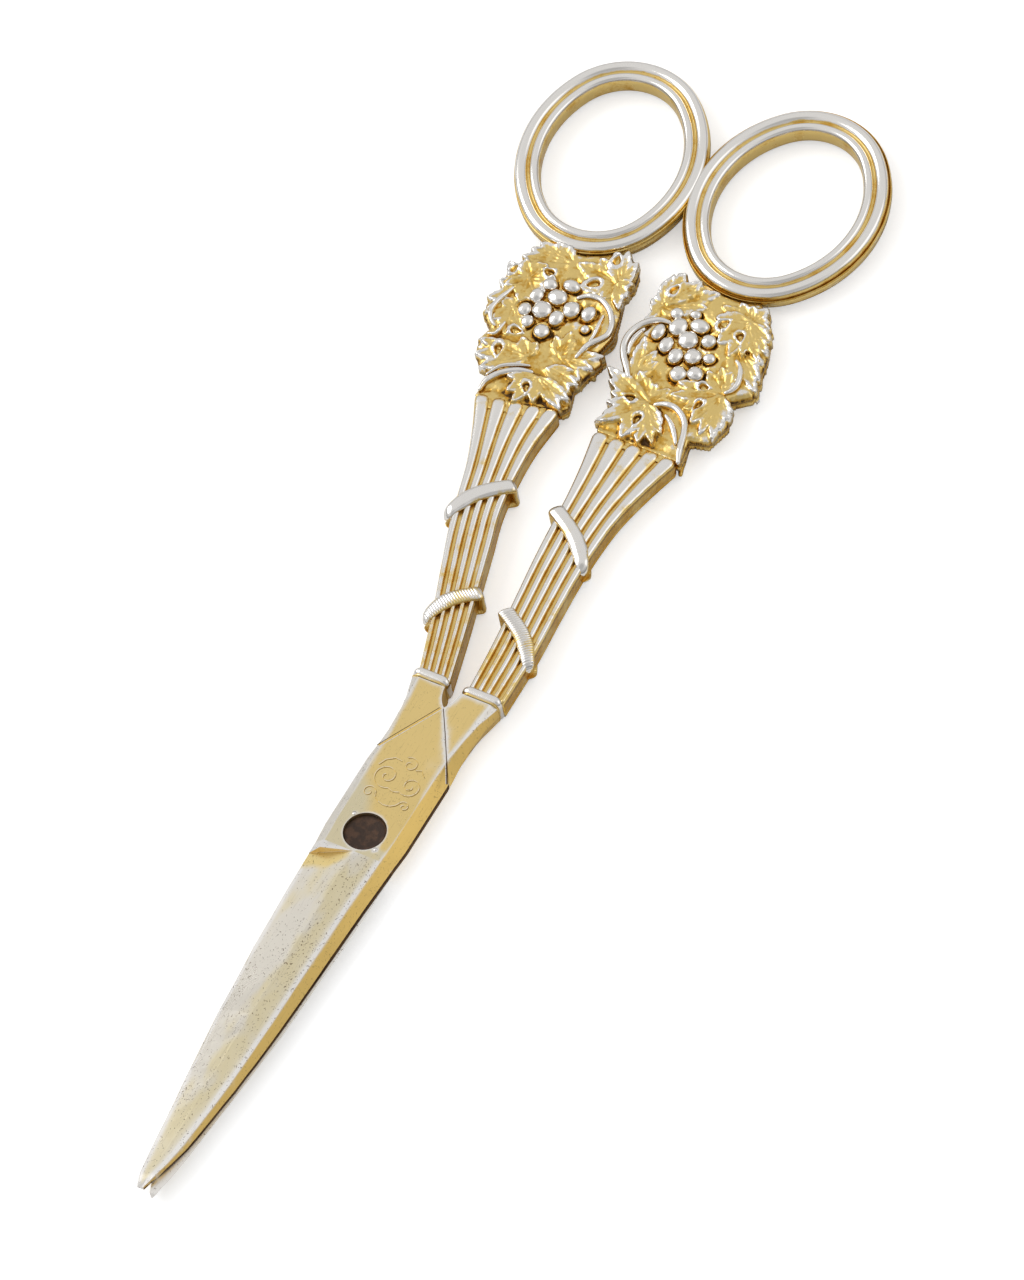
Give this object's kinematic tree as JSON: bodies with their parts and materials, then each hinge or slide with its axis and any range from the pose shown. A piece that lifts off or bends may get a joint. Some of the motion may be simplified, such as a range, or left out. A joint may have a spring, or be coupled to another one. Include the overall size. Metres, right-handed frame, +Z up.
{
  "type": "grape shears",
  "caption": "Gilt table shears for grapes: pointed lapped blades on a rivet, reeded stems with wraps, cast vine heads and oval finger rings.",
  "frame": {"origin": "on the pivot axis, in the plane the shears rest on, at the middle of the rivet's head", "axes": "+X to the right with the left handle's face up, +Y from the blade tips to the finger rings, +Z up from the resting plane"},
  "size_m": [0.0483, 0.1776, 0.0041],
  "materials": {
    "worn_gilt": "gilt silver, rubbed and pitted by use",
    "gilt": "gilt, rubbed to silver on the high spots",
    "bright_silver": "polished silver with worn gilding",
    "dark_steel": "browned steel"
  },
  "bodies": {
    "rear_arm": {"rear_blade": "worn_gilt", "rear_collar": "bright_silver", "rear_reeded_stem": "gilt", "rear_lower_wrap": "bright_silver", "rear_upper_wrap": "bright_silver", "rear_vine_panel": "gilt", "rear_face_leaves": "gilt", "rear_back_leaves": "gilt", "rear_face_shoots": "bright_silver", "rear_back_shoots": "bright_silver", "rear_face_grapes": "bright_silver", "rear_back_grapes": "bright_silver", "rear_finger_ring": "gilt"},
    "front_arm": {"front_blade": "worn_gilt", "pivot_rivet": "dark_steel", "lock_pins": "worn_gilt", "front_collar": "bright_silver", "front_reeded_stem": "gilt", "front_lower_wrap": "bright_silver", "front_upper_wrap": "bright_silver", "front_vine_panel": "gilt", "front_face_leaves": "gilt", "front_back_leaves": "gilt", "front_face_shoots": "bright_silver", "front_back_shoots": "bright_silver", "front_face_grapes": "bright_silver", "front_back_grapes": "bright_silver", "front_finger_ring": "gilt"}
  },
  "joints": [
    {"name": "blade_pivot", "type": "hinge", "parent": "rear_arm", "child": "front_arm", "pos_m": [0, 0, 0], "axis": [0, 0, 1], "range_deg": [0, 40]}
  ]
}
